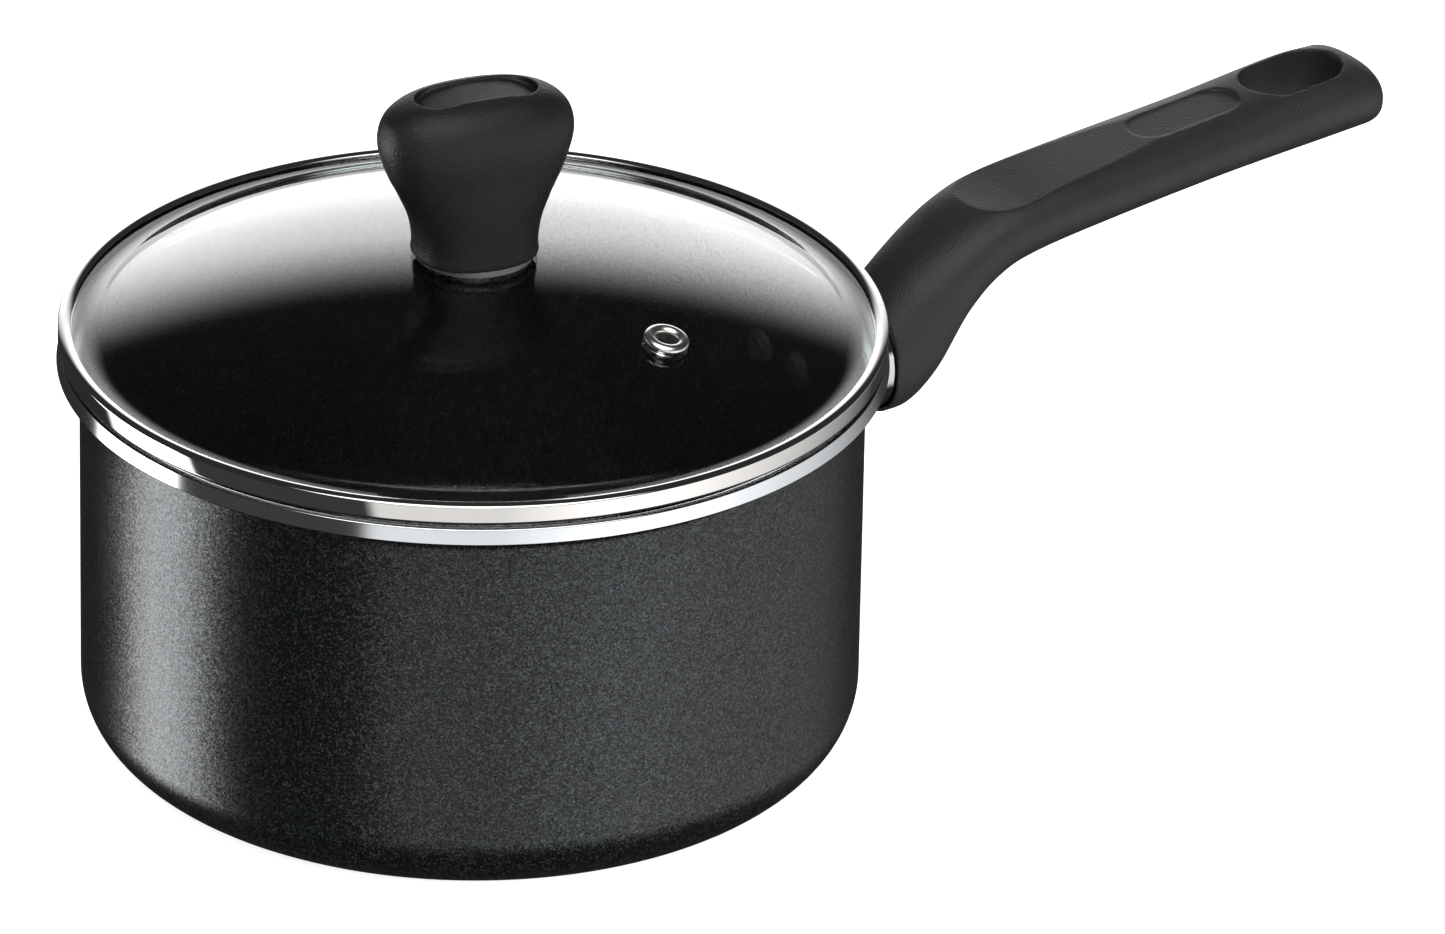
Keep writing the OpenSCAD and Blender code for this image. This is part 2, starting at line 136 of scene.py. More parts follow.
def smooth(rows, n):
    """A smooth curve through the rows, with n steps from one row to the next."""
    rows = [Vector(r) for r in rows]
    w = [2 * rows[0] - rows[1]] + rows + [2 * rows[-1] - rows[-2]]
    out = []
    for a, b, c, d in zip(w, w[1:], w[2:], w[3:]):
        for k in range(n):
            t = k / n
            bend = 2 * a - 5 * b + 4 * c - d
            out.append(0.5 * (2 * b + (c - a) * t + bend * t * t + (3 * b - a - 3 * c + d) * t ** 3))
    return out + [rows[-1]]


def signed_power(v, e):
    """The power e of v's size, with v's sign."""
    return math.copysign(abs(v) ** e, v)


def section(sides, n_top, n_under):
    """A rounded section of half sizes 1 by 1, as (across, up) pairs."""
    out = []
    for i in range(sides):
        a = 2 * math.pi * i / sides
        e = 2 / (n_top if a <= math.pi else n_under)
        out.append((signed_power(math.cos(a), e), signed_power(math.sin(a), e)))
    return out


def piece(name, points, faces, crease=35):
    """A smooth-shaded mesh object from points in millimetres.

    Edges sharper than crease degrees stay sharp.
    """
    mesh = bpy.data.meshes.new(name)
    mesh.from_pydata([Vector(p) * MM for p in points], [], faces)
    obj = bpy.data.objects.new(name, mesh)
    bpy.context.scene.collection.objects.link(obj)
    finish_mesh(obj, crease)
    return obj


def finish_mesh(obj, crease=35):
    """Faces turned outwards, smooth shading, and sharp edges where the surface really turns."""
    bm = bmesh.new()
    bm.from_mesh(obj.data)
    bmesh.ops.recalc_face_normals(bm, faces=bm.faces)
    limit = math.radians(crease)
    for face in bm.faces:
        face.smooth = True
    for edge in bm.edges:
        edge.smooth = len(edge.link_faces) == 2 and edge.calc_face_angle(0) < limit
    bm.to_mesh(obj.data)
    bm.free()


def lathe(name, profile, sides=256, closed=False, crease=35):
    """A profile of (radius, height) turned round Z. Points at radius 0 become single poles."""
    points, rings = [], []
    for r, z in profile:
        if r < 1e-6:
            rings.append([len(points)] * sides)
            points.append((0, 0, z))
        else:
            rings.append(list(range(len(points), len(points) + sides)))
            points += [(r * math.cos(2 * math.pi * i / sides), r * math.sin(2 * math.pi * i / sides), z)
                       for i in range(sides)]
    pairs = list(zip(rings, rings[1:] + (rings[:1] if closed else [])))
    faces = []
    for a, b in pairs:
        for i in range(sides):
            j = (i + 1) % sides
            corners = [a[i], a[j], b[j], b[i]]
            faces.append(list(dict.fromkeys(corners)))
    return piece(name, points, [f for f in faces if len(f) > 2], crease)


def loft(name, rings, crease=35):
    """A closed solid through rings that all have the same number of points."""
    m = len(rings[0])
    points = [p for ring in rings for p in ring]
    faces = []
    for r in range(len(rings) - 1):
        for i in range(m):
            j = (i + 1) % m
            faces.append((r * m + i, r * m + j, (r + 1) * m + j, (r + 1) * m + i))
    last = (len(rings) - 1) * m
    faces += [tuple(range(m)), tuple(last + i for i in range(m))]
    return piece(name, points, faces, crease)


def prism(name, outline, low, high):
    """An outline of (x, y) raised from low to high along Z."""
    return loft(name, [[(x, y, z) for x, y in outline] for z in (low, high)])


def stadium(length, width, n=16):
    """A slot's outline with round ends, length long over all."""
    r, half = width / 2, (length - width) / 2
    return arc(half, 0, r, -90, 90, n) + arc(-half, 0, r, 90, 270, n)


def cut(obj, *tools):
    """Takes the tools away from obj, and the tools are used up."""
    for tool in tools:
        modifier = obj.modifiers.new("cut", "BOOLEAN")
        modifier.operation = "DIFFERENCE"
        modifier.solver = "EXACT"
        modifier.object = tool
        apply_modifiers(obj)
        bpy.data.objects.remove(tool)


def apply_modifiers(obj):
    """Turns the object's modifiers into plain mesh."""
    bpy.context.view_layer.update()
    graph = bpy.context.evaluated_depsgraph_get()
    mesh = bpy.data.meshes.new_from_object(obj.evaluated_get(graph))
    obj.modifiers.clear()
    obj.data = mesh


def soften(obj, voxel, rounds):
    """An even skin over a cut solid, smoothed so that its edges are rounded as moulded edges are."""
    remesh = obj.modifiers.new("remesh", "REMESH")
    remesh.mode = "VOXEL"
    remesh.voxel_size = voxel * MM
    relax = obj.modifiers.new("relax", "SMOOTH")
    relax.factor = 0.5
    relax.iterations = rounds
    apply_modifiers(obj)
    finish_mesh(obj, 70)


def paint(obj, *materials):
    """Gives the object these materials and no others."""
    obj.data.materials.clear()
    for m in materials:
        obj.data.materials.append(m)


def place(obj, body, slot, *nodes):
    """Puts a finished piece in the model: its body and the CAD nodes that it stands for. The slot is not
    used.
    """
    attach(obj, body)
    if nodes:
        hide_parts(*nodes)


# ---------------------------------------------------------------- materials

class Shader:
    """A material with a Principled surface, and short calls that add nodes to it."""

    def __init__(self, name, **surface):
        self.material = bpy.data.materials.new(name)
        self.material.use_nodes = True
        self.tree = self.material.node_tree
        self.surface = self.tree.nodes["Principled BSDF"]
        self.set(self.surface, surface)
        self.place = self.add("ShaderNodeTexCoord").outputs["Object"]

    def set(self, node, inputs):
        for key, value in inputs.items():
            socket = node.inputs[key]
            if isinstance(value, bpy.types.NodeSocket):
                self.tree.links.new(value, socket)
            else:
                socket.default_value = value

    def add(self, kind, inputs=None, **settings):
        node = self.tree.nodes.new(kind)
        for key, value in settings.items():
            setattr(node, key, value)
        self.set(node, inputs or {})
        return node

    def noise(self, scale, detail=2.0, where=None):
        inputs = {"Scale": scale, "Detail": detail, "Vector": where or self.place}
        return self.add("ShaderNodeTexNoise", inputs).outputs["Fac"]

    def cells(self, scale):
        inputs = {"Scale": scale, "Vector": self.place}
        return self.add("ShaderNodeTexVoronoi", inputs).outputs["Color"]

    def span(self, value, low, high, to_low, to_high):
        inputs = {"Value": value, "From Min": low, "From Max": high, "To Min": to_low, "To Max": to_high}
        return self.add("ShaderNodeMapRange", inputs).outputs["Result"]

    def mix(self, factor, a, b):
        node = self.add("ShaderNodeMix", {"Factor": factor}, data_type="RGBA")
        for index, value in ((6, a), (7, b)):
            if isinstance(value, bpy.types.NodeSocket):
                self.tree.links.new(value, node.inputs[index])
            else:
                node.inputs[index].default_value = value
        return node.outputs[2]

    def bump(self, height, depth, strength=1.0, normal=None):
        inputs = {"Height": height, "Distance": depth * MM, "Strength": strength}
        if normal:
            inputs["Normal"] = normal
        return self.add("ShaderNodeBump", inputs).outputs["Normal"]

    def radius(self):
        """Distance from the Z axis."""
        flat = self.add("ShaderNodeVectorMath", {0: self.place, 1: (1, 1, 0)}, operation="MULTIPLY")
        return self.add("ShaderNodeVectorMath", {0: flat.outputs[0]}, operation="LENGTH").outputs["Value"]

    def flakes(self, scale, tilt):
        """A normal that leans a little at random from one fleck to the next."""
        from_middle = {0: self.cells(scale), 1: (0.5, 0.5, 0.5)}
        lean = self.add("ShaderNodeVectorMath", from_middle, operation="SUBTRACT")
        lean = self.add("ShaderNodeVectorMath", {0: lean.outputs[0], "Scale": tilt}, operation="SCALE")
        facing = self.add("ShaderNodeNewGeometry").outputs["Normal"]
        both = self.add("ShaderNodeVectorMath", {0: facing, 1: lean.outputs[0]}, operation="ADD")
        return self.add("ShaderNodeVectorMath", {0: both.outputs[0]}, operation="NORMALIZE").outputs[0]


def grey(v, blue=0.0):
    """A grey of value v, a little blue, or a little warm when blue is below 0."""
    return (v, v * (1 + blue / 2), v * (1 + blue), 1)


def enamel():
    """Charcoal enamel with fine metallic flecks under a soft gloss."""
    s = Shader("enamel_charcoal", **{"Specular Tint": (0.9, 0.96, 1.0, 1)})
    fleck = s.add("ShaderNodeSeparateColor", {0: s.cells(2900)}).outputs[0]
    bright = s.span(fleck, 0.72, 1.0, 0.0, 1.0)
    s.set(s.surface, {
        "Specular IOR Level": s.span(fleck, 0, 1, 0.24, 0.8),
        "Base Color": s.mix(bright, grey(0.002, 0.2), grey(0.02, 0.2)),
        "Roughness": s.span(s.noise(40, 3), 0.3, 0.7, 0.26, 0.29),
        "Normal": s.flakes(2900, 0.11),
    })
    return s.material


def non_stick():
    """Black coat inside the pan, with small glints."""
    s = Shader("non_stick_black", **{"IOR": 1.9})
    fleck = s.add("ShaderNodeSeparateColor", {0: s.cells(2500)}).outputs[0]
    bright = s.span(fleck, 0.8, 1.0, 0.0, 1.0)
    s.set(s.surface, {
        "Specular IOR Level": s.span(fleck, 0, 1, 0.0, 0.6),
        "Base Color": s.mix(bright, grey(0.002, 0.1), grey(0.014, 0.1)),
        "Roughness": s.span(s.noise(60, 3), 0.3, 0.7, 0.3, 0.34),
        "Normal": s.flakes(2500, 0.2),
    })
    return s.material


def polished_lip():
    """Bare aluminium, machined round the rim, so its finest marks run round the axis."""
    s = Shader("polished_aluminium", **{"Metallic": 1.0})
    lines = s.add("ShaderNodeCombineXYZ", {0: s.radius(), 1: 0.0, 2: 0.0}).outputs[0]
    s.set(s.surface, {
        "Base Color": s.mix(s.noise(90, 2), grey(0.76, 0.06), grey(0.82, 0.06)),
        "Roughness": s.span(s.noise(35, 3), 0.3, 0.7, 0.08, 0.13),
        "Normal": s.bump(s.noise(5000, 1, lines), 0.004, 0.4),
    })
    return s.material


def turned_base():
    """Aluminium turned on a lathe, with rings round the axis."""
    s = Shader("turned_aluminium", **{"Metallic": 1.0})
    rings = s.add("ShaderNodeCombineXYZ", {0: s.radius(), 1: 0.0, 2: 0.0}).outputs[0]
    s.set(s.surface, {
        "Base Color": s.mix(s.noise(50, 3), grey(0.55), grey(0.66)),
        "Roughness": s.span(s.noise(30, 3), 0.3, 0.7, 0.28, 0.4),
        "Normal": s.bump(s.noise(1800, 3, rings), 0.03, 0.8),
    })
    return s.material


def mirror_steel(name="polished_steel", shade=0.75, smear=0.03):
    """Stainless steel, from polished to satin as smear grows."""
    s = Shader(name, **{"Metallic": 1.0})
    s.set(s.surface, {
        "Base Color": s.mix(s.noise(60, 2), grey(shade - 0.03, -0.05), grey(shade + 0.02, -0.05)),
        "Roughness": s.span(s.noise(45, 3), 0.3, 0.7, smear, smear + 0.04),
        "Normal": s.bump(s.noise(220, 2), 0.01, 0.15),
    })
    return s.material


def plated_steel():
    """Zinc-plated small hardware."""
    s = Shader("zinc_plate", **{"Metallic": 1.0})
    s.set(s.surface, {
        "Base Color": s.mix(s.noise(700, 3), grey(0.55, 0.03), grey(0.68, 0.03)),
        "Roughness": s.span(s.noise(900, 3), 0.3, 0.7, 0.25, 0.42),
        "Normal": s.bump(s.noise(2400, 2), 0.01, 0.3),
    })
    return s.material


def brass():
    """Machined brass of the knob's insert."""
    s = Shader("insert_brass", **{"Metallic": 1.0})
    s.set(s.surface, {
        "Base Color": s.mix(s.noise(500, 3), (0.66, 0.46, 0.18, 1), (0.76, 0.56, 0.25, 1)),
        "Roughness": s.span(s.noise(800, 3), 0.3, 0.7, 0.25, 0.4),
        "Normal": s.bump(s.noise(1500, 2), 0.02, 0.4),
    })
    return s.material


def bakelite(name, shade):
    """Matt black moulding with a fine grain and a slightly uneven sheen."""
    s = Shader(name, **{"Specular IOR Level": 0.34})
    grain = s.noise(1900, 1)
    s.set(s.surface, {
        "Base Color": s.mix(s.noise(160, 3), grey(shade * 0.8, 0.14), grey(shade * 1.2, 0.14)),
        "Roughness": s.span(s.noise(30, 3), 0.3, 0.7, 0.45, 0.53),
        "Normal": s.bump(grain, 0.2, 0.8),
    })
    return s.material


def black_coat():
    """The coat over the rivets' heads."""
    s = Shader("rivet_coat")
    s.set(s.surface, {
        "Base Color": s.mix(s.noise(900, 2), grey(0.01, 0.2), grey(0.05, 0.2)),
        "Roughness": s.span(s.noise(300, 3), 0.3, 0.7, 0.36, 0.46),
        "Normal": s.bump(s.noise(2500, 2), 0.04, 0.6),
    })
    return s.material


def lid_glass():
    """Clear tempered glass, a little green in its depth."""
    s = Shader("tempered_glass", **{
        "Transmission Weight": 1.0, "IOR": 1.5, "Roughness": 0.0,
        "Base Color": (0.93, 0.97, 0.955, 1),
    })
    s.set(s.surface, {"Normal": s.bump(s.noise(9, 1), 0.005, 0.1)})
    return s.material


def clear_ring():
    """Clear silicone of the knob's gasket."""
    s = Shader("clear_silicone", **{
        "Transmission Weight": 0.9, "IOR": 1.42,
        "Base Color": (0.9, 0.93, 0.9, 1),
    })
    s.set(s.surface, {
        "Roughness": s.span(s.noise(400, 2), 0.3, 0.7, 0.05, 0.14),
        "Normal": s.bump(s.noise(500, 2), 0.02, 0.3),
    })
    return s.material


def soft_grommet():
    """Pale silicone of the grommet in the glass's centre hole."""
    s = Shader("grommet_silicone", **{"Specular IOR Level": 0.4})
    s.set(s.surface, {
        "Base Color": s.mix(s.noise(500, 2), grey(0.6), grey(0.72)),
        "Roughness": s.span(s.noise(300, 2), 0.3, 0.7, 0.45, 0.6),
        "Normal": s.bump(s.noise(1200, 2), 0.02, 0.4),
    })
    return s.material


def bracket_steel():
    """Cold-rolled sheet, with a grain along the tang."""
    s = Shader("bracket_sheet", **{"Metallic": 1.0})
    stretched = s.add("ShaderNodeMapping", {"Vector": s.place, "Scale": (0.05, 1, 1)}).outputs[0]
    s.set(s.surface, {
        "Base Color": s.mix(s.noise(300, 3), grey(0.42), grey(0.52)),
        "Roughness": s.span(s.noise(900, 3, stretched), 0.3, 0.7, 0.3, 0.5),
        "Normal": s.bump(s.noise(2500, 2, stretched), 0.02, 0.4),
    })
    return s.material


ENAMEL = enamel()
COAT = non_stick()
LIP = polished_lip()
BASE = turned_base()
STEEL = mirror_steel()
GUARD_STEEL = mirror_steel("guard_steel", 0.62, 0.08)
NICKEL = mirror_steel("satin_nickel", 0.84, 0.24)
# Painted shade: these two are darker than the real metal, so that the gap between the band and the lip reads
# as a dark line.
BAND_UNDER_SHADE = mirror_steel("band_underside_painted_shade", 0.12, 0.45)
LIP_SEAT_SHADE = mirror_steel("lip_seat_painted_shade", 0.1, 0.4)
ZINC = plated_steel()
HANDLE_BLACK = bakelite("handle_bakelite", 0.013)
KNOB_BLACK = bakelite("knob_bakelite", 0.006)
GLASS = lid_glass()


# ---------------------------------------------------------------- pan

def base_line():
    """The base from the axis out, with its turned grooves."""
    groove_w, groove_depth, slope = 1.2, 0.25, 0.15
    line = [(0, 0)]
    for k in range(BASE_RINGS):
        r = BASE_RING_R + BASE_RING_PITCH * k
        line += [(r, 0), (r + slope, groove_depth), (r + groove_w - slope, groove_depth), (r + groove_w, 0)]
    return line


def make_pan():
    """The pan's shell in one turned piece, painted by region."""
    inner_r = WALL_R - WALL_T
    lean = 90 - LIP_LEAN
    turn = math.radians(LIP_LEAN)
    low = (LIP_R, PAN_H - LIP_T * math.cos(turn))
    top = (LIP_R - LIP_T * math.sin(turn), PAN_H)
    run = (LIP_R - WALL_R - LIP_UNDER_R * (1 - math.cos(math.radians(lean)))) / math.sin(math.radians(lean))
    flare_z = low[1] - LIP_UNDER_R * math.sin(math.radians(lean)) - run * math.cos(math.radians(lean))

    outside = arc(WALL_R - CORNER_R, CORNER_R, CORNER_R, -90, 0, 24)
    outside += [(WALL_R, z) for z in WALL_STOPS]
    outside += arc(WALL_R + LIP_UNDER_R, flare_z, LIP_UNDER_R, 180, 180 - lean, 12)
    edge = [(low[0] - 0.25, low[1] - 0.05), (low[0], low[1] + 0.25)]
    edge += arc(top[0] - LIP_FILLET, top[1] - LIP_FILLET, LIP_FILLET, 10, 90, 6)
    inside = arc(inner_r + LIP_OVER_R, PAN_H - LIP_FILLET - LIP_OVER_R, LIP_OVER_R, 90 + LIP_LEAN, 180, 20)
    inside += [(inner_r, z) for z in reversed(WALL_STOPS)]
    inside += arc(inner_r - INNER_CORNER_R, FLOOR_T + INNER_CORNER_R, INNER_CORNER_R, 0, -90, 20)
    inside += [(r, FLOOR_T) for r in FLOOR_STOPS]

    pan = lathe("pan_shell", base_line() + outside + edge + inside, 320)
    paint_pan(pan, low[1] - 0.4)
    place(pan, "pan", "pan_enamel", "pan_body")


def paint_pan(pan, lip_end):
    """Base, a seat painted dark as shade under the band, bare lip and coat, each on its own faces. The rest
    is enamel.
    """
    finishes = [ENAMEL, COAT, LIP, BASE, LIP_SEAT_SHADE]
    paint(pan, *finishes)
    base_top = 0.3           # just over the base's grooves
    wall_end = WALL_R - 0.05
    nearly_up, half_up, nearly_down = 0.75, 0.5, -0.9
    for face in pan.data.polygons:
        c = face.center / MM
        r = math.hypot(c.x, c.y)
        inward = face.normal.x * c.x + face.normal.y * c.y < 0
        up = face.normal.z
        on_lip = c.z > lip_end and r > wall_end - 2 and up > nearly_down
        if c.z < base_top and r < WALL_R - CORNER_R + 1:
            face.material_index = finishes.index(BASE)
        # The lip's top under the band gets painted shade, not a finish of the metal.
        elif r > SEAT_R and up > nearly_up:
            face.material_index = finishes.index(LIP_SEAT_SHADE)
        elif on_lip and (r > BARE_R or not inward):
            face.material_index = finishes.index(LIP)
        elif inward or (up > half_up and r < BARE_R):
            face.material_index = finishes.index(COAT)


# ---------------------------------------------------------------- flame guard

GUARD = [  # x, height of the middle, half width, half height
    (87, 64.4, 16.4, 14.2),
    (94, 64.2, 14.4, 12.9),
    (103, 64, 12.8, 12.3),
    (114, 63.8, 12.3, 12.1),
]
GUARD_T = 0.9
GUARD_ROUND = 2.3        # 2 is an ellipse, and more is squarer
GUARD_MOUTH_X = 90       # where the width at the wall is read


def make_guard():
    """A thin polished collar from the wall to the handle's socket."""
    sides, steps = 96, 24
    line = smooth(GUARD, 8)
    shape = section(sides, GUARD_ROUND, GUARD_ROUND)

    def size_at(x):
        for a, b in zip(line, line[1:]):
            if x <= b[0]:
                return a.lerp(b, (x - a[0]) / (b[0] - a[0]))
        return line[-1]

    def ring(u, inset):
        points = []
        for across, up in shape:
            y = across * (size_at(GUARD_MOUTH_X)[2] - inset)
            wall_x = math.sqrt((WALL_R + 0.05) ** 2 - y * y)
            x = wall_x + (GUARD[-1][0] - wall_x) * u
            s = size_at(x)
            points.append((x, across * (s[2] - inset), s[1] + up * (s[3] - inset)))
        return points

    outer = [ring(k / steps, 0) for k in range(steps + 1)]
    inner = [ring(k / steps, GUARD_T) for k in range(steps, -1, -1)]
    rings = outer + inner
    points = [p for r in rings for p in r]
    faces = []
    for k in range(len(rings)):
        a, b = k * sides, ((k + 1) % len(rings)) * sides
        for i in range(sides):
            j = (i + 1) % sides
            faces.append((a + i, a + j, b + j, b + i))
    guard = piece("flame_guard_collar", points, faces)
    paint(guard, GUARD_STEEL)
    place(guard, "pan", "polished_steel", "flame_guard")


# ---------------------------------------------------------------- handle

STATIONS = [  # top x, top z, bottom x, bottom z, half width
    (110.5, 77.2, 110.5, 50.2, 13.2),
    (113.8, 80.4, 117.5, 51, 13.6),
    (119.5, 85.4, 125, 57.2, 13.9),
    (128, 90.6, 133, 70, 14.1),
    (138, 95.6, 141.5, 77.8, 14.2),
    (150, 98.6, 152, 81.6, 14.5),
    (176, 100.8, 176, 84.7, 14.6),
    (207, 102.9, 207, 87.5, 14.6),
    (236, 106, 236, 88.8, 14.5),
    (248, 106, 248, 89.4, 14.2),
]
# The thumb scoop's line, as (x, z).
SCOOP = [(130, 97), (138, 95.7), (148, 96.3), (160, 98.1), (185, 100.8), (212, 103.6)]
GRIP_SLOPE = math.radians(4.6)
TIP_LEN = 9.05
TIP_DROP = 0.59
SLOT_X = 234.6           # the hanging hole's middle
SLOT_Z = 97
SLOT_L = 26.5
SLOT_W = 17.6
PANEL_X = 202            # the sunken panel's middle
PANEL_Z = 102.65
PANEL_L = 30.5
PANEL_W = 12.4
PANEL_DEPTH = 0.8
SOCKET = [(105, 63.8, 12.6, 12.4), (114.2, 63.8, 12.6, 12.4)]    # x, middle height, half width, half height
SCREW_X = 119.5
SCREW_BORE_R = 4.2
SCREW_BORE_Z = (40, 57.9)
HANDLE_VOXEL = 0.42


def handle_point(s, across, up, kw=1.0, kh=1.0, shift=0.0, ahead=0.0):
    """A point of the handle's section at station s."""
    c = Vector(((s[0] + s[2]) / 2, (s[1] + s[3]) / 2))
    v = Vector(((s[0] - s[2]) / 2, (s[1] - s[3]) / 2))
    t = Vector((v.y, -v.x)).normalized()
    m = c - shift * v + ahead * t
    return (m.x + v.x * up * kh, across * s[4] * kw, m.y + v.y * up * kh)


def handle_rings(shape, steps, tip_steps):
    """Rings along the handle, with its round tip."""
    line = smooth(STATIONS, steps)
    rings = [[handle_point(s, a, u) for a, u in shape] for s in line]
    for k in range(1, tip_steps + 1):
        g = math.sin(math.pi / 2 * k / (tip_steps + 0.15))
        f = math.sqrt(1 - g * g)
        rings.append([handle_point(line[-1], a, u, f, f, TIP_DROP * (1 - f), TIP_LEN * g) for a, u in shape])
    return rings


def tilted(obj, x, z):
    """Moves a tool made round the origin to its place on the sloping grip."""
    obj.data.transform(Matrix.Translation((x * MM, 0, z * MM)) @ Matrix.Rotation(-GRIP_SLOPE, 4, "Y"))
    return obj


def scoop_tool():
    """What the thumb scoop takes from the top of the handle."""
    line = [tuple(p) for p in smooth(SCOOP, 12)]
    outline = line + [(line[-1][0], 125), (line[0][0], 125)]
    return loft("scoop_tool", [[(x, y, z) for x, z in outline] for y in (-20, 20)])


def make_handle():
    """The moulded handle, with its scoop, hanging hole, panel, socket and screw bore."""
    handle = loft("handle_grip", handle_rings(section(96, 2.5, 2.3), 10, 16))
    slot = tilted(prism("slot_tool", stadium(SLOT_L, SLOT_W), -30, 30), SLOT_X, SLOT_Z)
    panel = tilted(prism("panel_tool", stadium(PANEL_L, PANEL_W), -PANEL_DEPTH, 10), PANEL_X, PANEL_Z)
    socket = loft("socket_tool", [[(x, a * w, z + u * h) for a, u in section(64, GUARD_ROUND, GUARD_ROUND)]
                                  for x, z, w, h in SOCKET])
    bore = prism("bore_tool", arc(0, 0, SCREW_BORE_R, 0, 352, 44), *SCREW_BORE_Z)
    bore.data.transform(Matrix.Translation((SCREW_X * MM, 0, 0)))
    cut(handle, scoop_tool(), slot, panel, socket, bore)
    soften(handle, HANDLE_VOXEL, 3)
    paint(handle, HANDLE_BLACK)
    place(handle, "pan", "handle_bakelite", "handle")


# ---------------------------------------------------------------- lid

def make_band():
    """The steel band: a shallow arch on top, an upright face and a rolled lower leg."""
    turn = math.radians(BAND_CROWN_TURN)
    reach = BAND_CROWN_R - BAND_CORNER_R
    mid = BAND_R - BAND_CORNER_R - reach * math.sin(turn)
    corner = (BAND_R - BAND_CORNER_R, CROWN_Z + reach * math.cos(turn))
    roll = (BAND_R - BAND_ROLL, BAND_Z + BAND_ROLL)
    edge = BAND_T / 2
    inner_end = BAND_CROWN_R - edge
    end = (mid - inner_end * math.sin(turn), CROWN_Z + inner_end * math.cos(turn))
    profile = arc(*end, edge, 305, 125, 8)
    profile += arc(mid, CROWN_Z, BAND_CROWN_R, 90 + BAND_CROWN_TURN, 90 - BAND_CROWN_TURN, 20)[1:]
    profile += arc(*corner, BAND_CORNER_R, 90 - BAND_CROWN_TURN, 0, 8)[1:]
    profile += arc(*roll, BAND_ROLL, 0, -90, 14)
    profile += arc(BAND_LOW_IN_R + edge, BAND_Z + edge, edge, 270, 90, 8)
    profile += arc(*roll, BAND_ROLL - BAND_T, -90, 0, 8)
    profile += [(BAND_R - BAND_T, corner[1])]
    profile += arc(mid, CROWN_Z, BAND_CROWN_R - BAND_T, 90 - BAND_CROWN_TURN, 90 + BAND_CROWN_TURN, 12)[1:-1]
    band = lathe("lid_band_ring", profile, 320, closed=True)
    finishes = [STEEL, BAND_UNDER_SHADE]
    paint(band, *finishes)
    downward = -0.35
    # The rolled leg's downward faces get painted shade, dark as the shadow between the band and the lip.
    for face in band.data.polygons:
        c = face.center / MM
        if face.normal.z < downward and c.z < BAND_Z + BAND_ROLL:
            face.material_index = finishes.index(BAND_UNDER_SHADE)
    place(band, "lid_carrier", "polished_steel", "lid_band")


def vent_matrix():
    """Puts things made round Z on the dome's outer face at the vent, standing on its normal."""
    lean = Matrix.Rotation(math.asin(VENT_X / DOME_R), 4, "Y")
    up = Matrix.Translation((0, 0, DOME_R * MM))
    return Matrix.Rotation(VENT_TURN, 4, "Z") @ Matrix.Translation((0, 0, DOME_CZ * MM)) @ lean @ up


def make_glass():
    """The domed glass, with its centre hole and vent hole."""
    s = math.degrees(DOME_SLOPE)
    low = GLASS_EDGE_TOP - GLASS_T
    blend_z = GLASS_EDGE_TOP + DOME_BLEND
    hole_top = math.degrees(math.asin(GLASS_HOLE_R / DOME_R))
    hole_low = math.degrees(math.asin(GLASS_HOLE_R / (DOME_R - GLASS_T)))
    profile = arc(0, DOME_CZ, DOME_R, 90 - hole_top, 90 - s, 48)
    profile += arc(DOME_FLAT_R, blend_z, DOME_BLEND, 270 - s, 270, 10)[1:]
    profile += arc(GLASS_R - GLASS_PENCIL, GLASS_EDGE_TOP - GLASS_PENCIL, GLASS_PENCIL, 90, 0, 8)
    profile += arc(GLASS_R - GLASS_PENCIL, low + GLASS_PENCIL, GLASS_PENCIL, 0, -90, 8)
    profile += arc(DOME_FLAT_R, blend_z, DOME_BLEND + GLASS_T, 270, 270 - s, 10)
    profile += arc(0, DOME_CZ, DOME_R - GLASS_T, 90 - s, 90 - hole_low, 48)[1:]
    glass = lathe("lid_dome", profile, 256, closed=True)
    hole = prism("vent_tool", arc(0, 0, VENT_D / 2 + VENT_ROOM, 0, 354, 59), -GLASS_T - 5, 5)
    hole.data.transform(vent_matrix())
    cut(glass, hole)
    finish_mesh(glass)
    paint(glass, GLASS)
    place(glass, "lid", "lid_glass", "lid_glass")


def make_eyelet():
    """The vent's eyelet: a round flange on the glass, a tube, and a flare under it."""
    hole_r = VENT_D / 2
    tube_r = hole_r + EYELET_WALL
    flange_r = EYELET_FLANGE_R
    low = EYELET_FLARE_Z
    mid, half = (hole_r + flange_r) / 2, (flange_r - hole_r) / 2
    profile = [(hole_r, low - 0.5), (hole_r + 0.3, low - 0.6)]
    profile += [(tube_r + 0.7, low - 0.6), (tube_r + 0.9, low - 0.3)]
    profile += [(tube_r + 0.9, low), (tube_r, low), (tube_r, 0.1), (flange_r - 0.2, 0.1)]
    profile += [(mid + half * math.cos(a), 0.35 + EYELET_RISE * math.sin(a))
                for a in (math.pi * i / 24 for i in range(25))]
    eyelet = lathe("vent_ring", profile, 96, closed=True)
    eyelet.data.transform(vent_matrix())
    paint(eyelet, NICKEL)
    place(eyelet, "lid", "polished_steel", "vent_eyelet")


def make_gasket():
    """The clear ring that fills the space between the dome and the knob."""
    inner, outer = GASKET_IN_R, GASKET_OUT_R
    lift, steps = 0.02, 24
    under = [(r, DOME_CZ + lift + math.sqrt(DOME_R ** 2 - r * r))
             for r in (inner + (outer - inner) * i / steps for i in range(steps + 1))]
    rim = arc(outer - GASKET_EDGE_R, KNOB_Z - GASKET_EDGE_R, GASKET_EDGE_R, 0, 90, 4)
    gasket = lathe("knob_gasket_ring", under + rim + [(inner, KNOB_Z)], 128, closed=True)
    paint(gasket, clear_ring())
    place(gasket, "lid", "clear_gasket", "knob_gasket")


